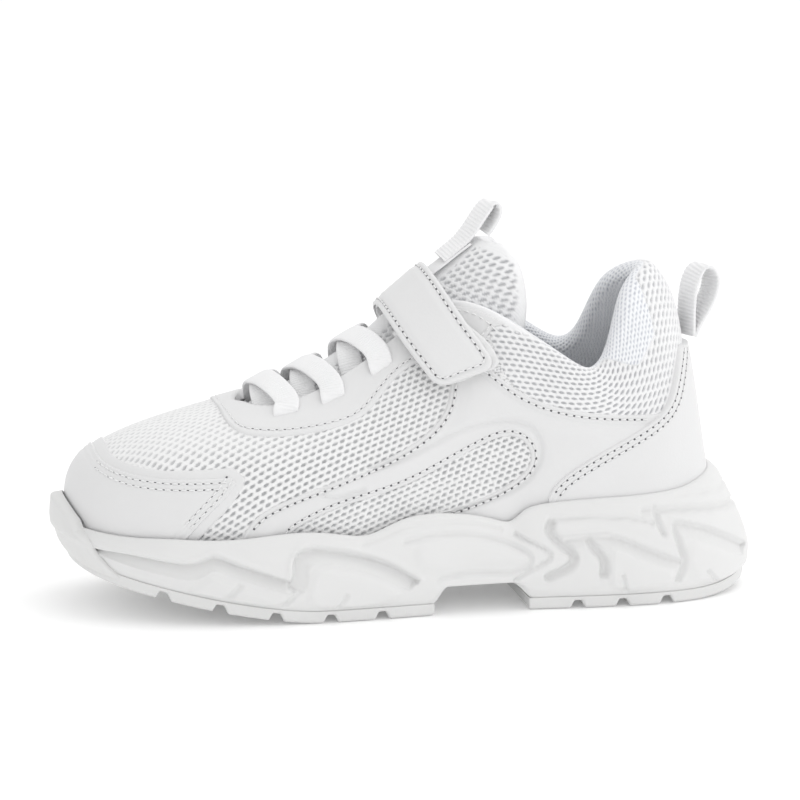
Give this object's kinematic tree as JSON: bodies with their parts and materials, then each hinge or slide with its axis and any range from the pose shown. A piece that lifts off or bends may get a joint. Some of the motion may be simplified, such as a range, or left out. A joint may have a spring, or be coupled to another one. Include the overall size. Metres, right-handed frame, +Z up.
{
  "type": "running shoe",
  "caption": "Left low-cut trainer with mesh upper, leather overlays, crossed elastic laces, hook-and-loop instep strap, padded tongue and collar, webbing pull loops and lugged foam sole.",
  "frame": {"origin": "on the ground under the middle of the shoe, at the face of the forefoot tread", "axes": "-X towards the toe, +X towards the heel, -Y towards the outer (lateral) side, +Z up from the ground"},
  "size_m": [0.2414, 0.0927, 0.1349],
  "materials": {
    "mesh_white": "matt open knit",
    "mesh_collar": "matt fine knit",
    "lining_fabric": "matt knit, faintly blue-grey",
    "foam": "matt open-cell foam",
    "leather_white": "smooth, satin",
    "webbing_white": "ribbed webbing",
    "elastic_white": "ribbed elastic",
    "stiffener_board": "matt",
    "strobel_board": "matt felt board",
    "insole_foam": "brushed fabric on foam",
    "eva_white": "matt moulded foam",
    "rubber_white": "matt moulded rubber",
    "hook_plastic": "stiff hooks",
    "loop_pile": "brushed loop pile"
  },
  "bodies": {
    "shoe": {"outsole_forefoot": "rubber_white", "outsole_heel": "rubber_white", "midsole": "eva_white", "strobel_board": "strobel_board", "insole": "insole_foam", "lining": "lining_fabric", "collar_foam": "foam", "heel_counter": "stiffener_board", "toe_puff": "stiffener_board", "vamp_mesh": "mesh_white", "collar_mesh": "mesh_collar", "collar_binding": "lining_fabric", "toe_cap_underlay": "leather_white", "toe_cap": "leather_white", "eyestay": "leather_white", "side_panel_lateral": "leather_white", "side_panel_medial": "leather_white", "heel_panel": "leather_white", "loop_tape": "loop_pile", "strap_anchor": "leather_white", "elastic_lace": "elastic_white"},
    "strap": {"strap_cover": "leather_white", "strap_backing": "leather_white", "hook_tape": "hook_plastic"},
    "tongue": {"tongue_mesh": "mesh_collar", "tongue_foam": "foam", "tongue_lining": "lining_fabric"},
    "tongue_loop": {"tongue_pull_loop": "webbing_white"},
    "heel_loop": {"heel_pull_loop": "webbing_white"}
  },
  "joints": [
    {"name": "strap_peel", "type": "hinge", "parent": "shoe", "child": "strap", "pos_m": [0.0105, 0.029, 0.0875], "axis": [-0.7507, 0, -0.6606], "range_deg": [0, 110]},
    {"name": "tongue_fold", "type": "hinge", "parent": "shoe", "child": "tongue", "pos_m": [-0.056, 0, 0.062], "axis": [0, 1, 0], "range_deg": [0, 10], "stiffness_Nm_per_rad": 2},
    {"name": "tongue_loop_bend", "type": "hinge", "parent": "tongue", "child": "tongue_loop", "pos_m": [0.0136, 0, 0.1154], "axis": [0, 1, 0], "range_deg": [-25, 2], "stiffness_Nm_per_rad": 0.01},
    {"name": "heel_loop_bend", "type": "hinge", "parent": "shoe", "child": "heel_loop", "pos_m": [0.0998, 0, 0.0872], "axis": [0, 1, 0], "range_deg": [-4, 60], "stiffness_Nm_per_rad": 0.01}
  ]
}
